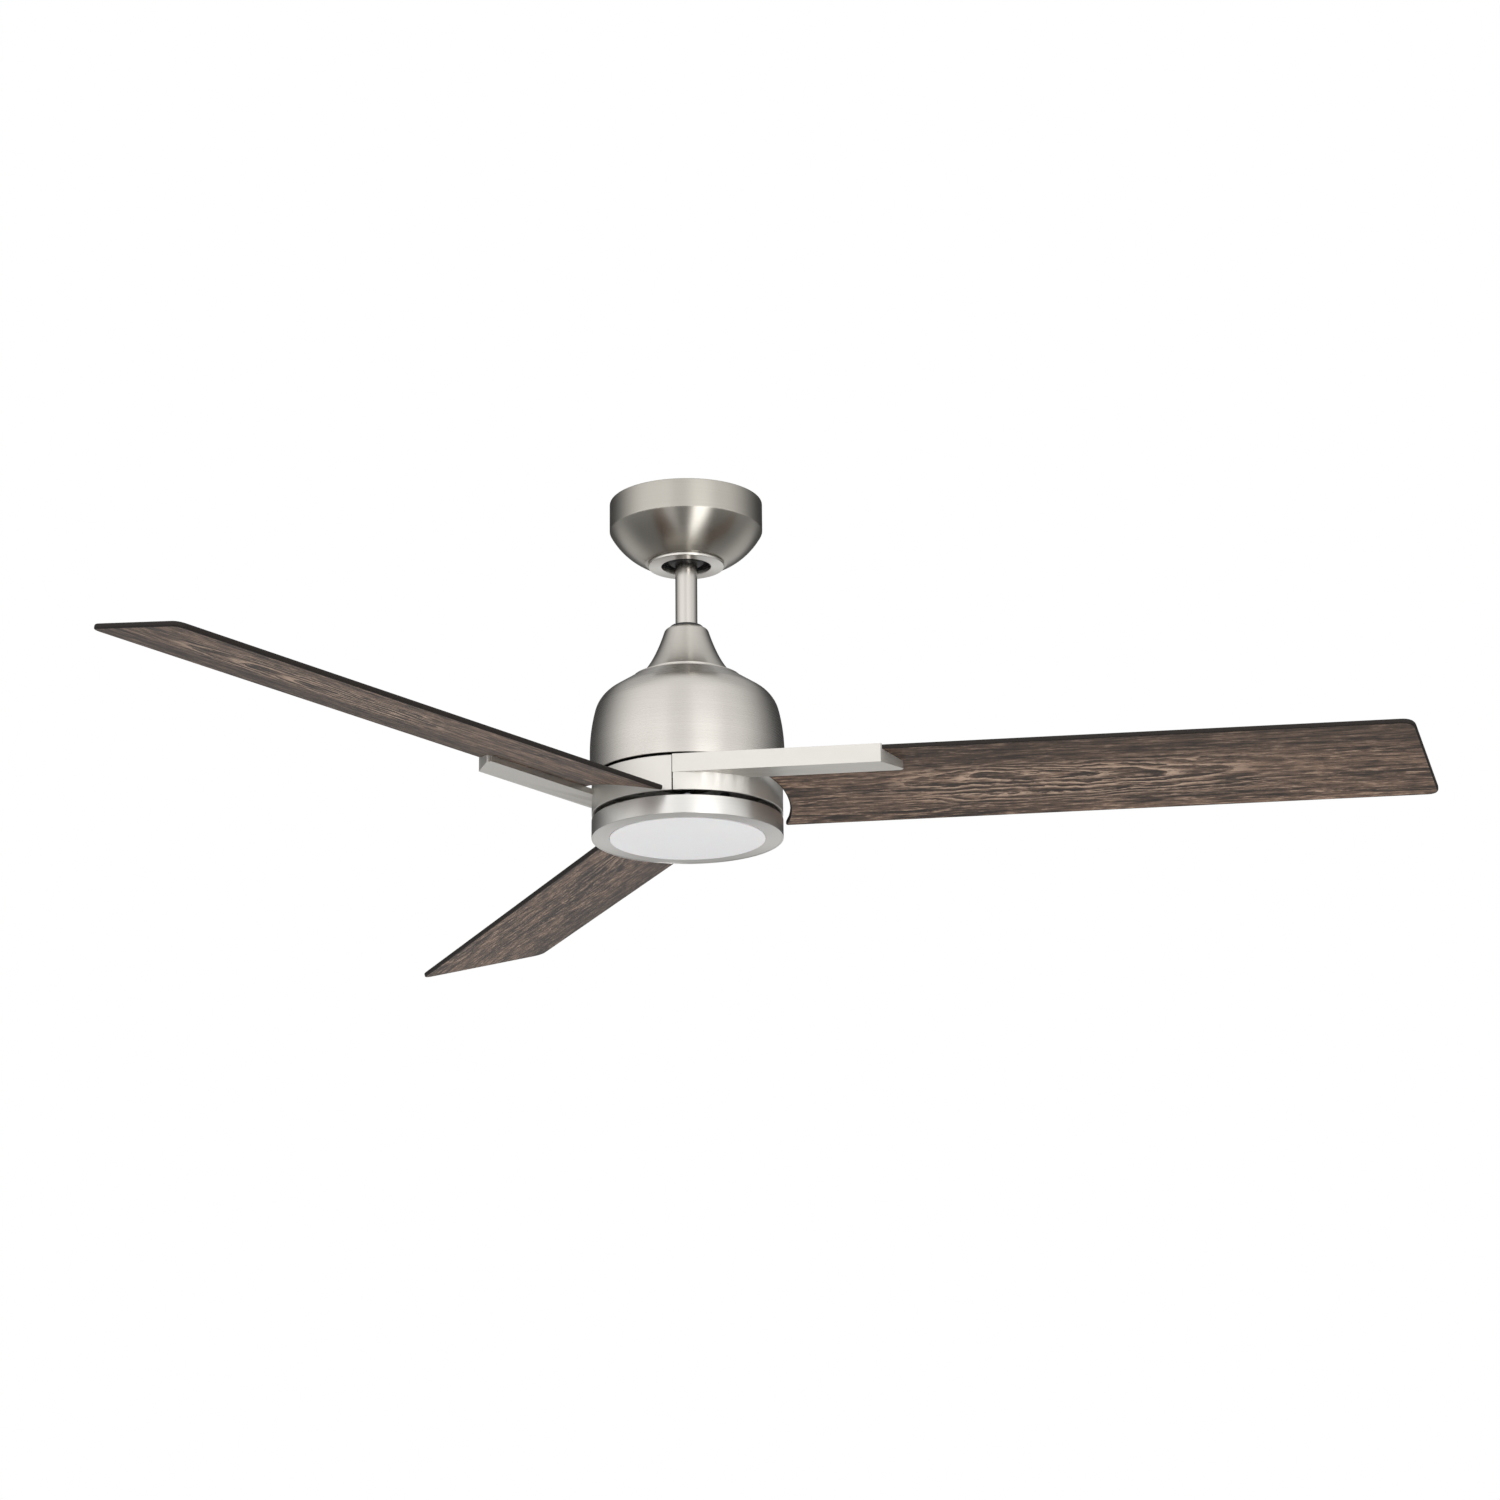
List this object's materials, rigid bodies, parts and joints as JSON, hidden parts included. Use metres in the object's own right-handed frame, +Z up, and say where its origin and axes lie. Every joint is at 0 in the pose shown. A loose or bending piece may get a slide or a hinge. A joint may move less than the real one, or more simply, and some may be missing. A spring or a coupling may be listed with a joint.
{
  "type": "ceiling fan with light",
  "caption": "Ceiling fan with pitched wood blades on brushed nickel arms, a domed motor housing, a flat disc light and a short downrod from a bowl canopy.",
  "frame": {"origin": "on the fan's axis at the ceiling plane, which the canopy's rim and the hanger bracket's plate touch", "axes": "+Z up along the axis of the rod and motor, +X to the right and +Y away when the front is seen"},
  "size_m": [1.2014, 1.2443, 0.3392],
  "materials": {
    "brushed_nickel": "satin, brushed round the axis",
    "brushed_nickel_arm": "satin",
    "zinc_steel": "zinc plated, dull",
    "green_steel": "green dyed screw",
    "screw_steel": "machined",
    "grey_plastic": "matte",
    "black_nylon": "matte",
    "shaft_steel": "ground",
    "lamination_steel": "stacked sheet",
    "copper_winding": "enamelled wire",
    "bearing_steel": "polished",
    "wire_red": "matte",
    "black_steel": "black paint",
    "white_steel": "gloss white",
    "white_plastic": "matte",
    "white_board": "solder mask",
    "led_yellow": "phosphor",
    "opal_acrylic": "satin opal",
    "cast_aluminium": "as cast",
    "magnet": "plated",
    "walnut_blade": "weathered wood grain foil"
  },
  "bodies": {
    "ceiling_mount": {"hanger_bracket": "zinc_steel", "ground_screw": "green_steel", "canopy": "brushed_nickel", "canopy_screws": "screw_steel", "canopy_ring": "brushed_nickel", "remote_receiver": "grey_plastic"},
    "ball_seat": {"ball_seat_liner": "black_nylon"},
    "hanging": {"hanger_ball": "black_nylon", "ball_cross_pin": "screw_steel", "ball_set_screw": "screw_steel", "downrod": "brushed_nickel", "downrod_pin": "screw_steel", "spring_clip": "screw_steel", "coupling_yoke": "zinc_steel", "yoke_set_screws": "screw_steel", "coupling_cover": "brushed_nickel", "rod_seal": "black_nylon", "motor_housing": "brushed_nickel", "housing_screws": "screw_steel", "motor_shaft": "shaft_steel", "stator_core": "lamination_steel", "stator_coils": "copper_winding", "bearing_inner_rings": "bearing_steel", "lead_wires": "wire_red", "shaft_nuts": "zinc_steel", "light_mount_plate": "black_steel", "light_plate_screws": "screw_steel", "led_driver": "white_plastic", "driver_screws": "screw_steel", "light_connector": "white_plastic", "reflector": "white_steel", "reflector_screws": "screw_steel", "led_board": "white_board", "led_chips": "led_yellow", "light_ring": "brushed_nickel", "lens": "opal_acrylic"},
    "rotor": {"rotor_cover_top": "cast_aluminium", "rotor_cover_bottom": "cast_aluminium", "rotor_magnets": "magnet", "rotor_screws": "screw_steel", "bearing_outer_rings": "bearing_steel", "bearing_balls": "bearing_steel", "blade_arm_1": "brushed_nickel_arm", "blade_arm_2": "brushed_nickel_arm", "blade_arm_3": "brushed_nickel_arm", "arm_screws": "screw_steel", "blade_1": "walnut_blade", "blade_2": "walnut_blade", "blade_3": "walnut_blade", "blade_screws_1": "screw_steel", "blade_screws_2": "screw_steel", "blade_screws_3": "screw_steel"}
  },
  "joints": [
    {"name": "hanger_swing_side", "type": "hinge", "parent": "ceiling_mount", "child": "ball_seat", "pos_m": [0, 0, -0.038], "axis": [1, 0, 0], "range_deg": [-15, 15]},
    {"name": "hanger_swing_front", "type": "hinge", "parent": "ball_seat", "child": "hanging", "pos_m": [0, 0, -0.038], "axis": [0, 1, 0], "range_deg": [-15, 15]},
    {"name": "rotor_spin", "type": "hinge", "parent": "hanging", "child": "rotor", "pos_m": [0, 0, -0.2988], "axis": [0, 0, 1], "continuous": true}
  ]
}
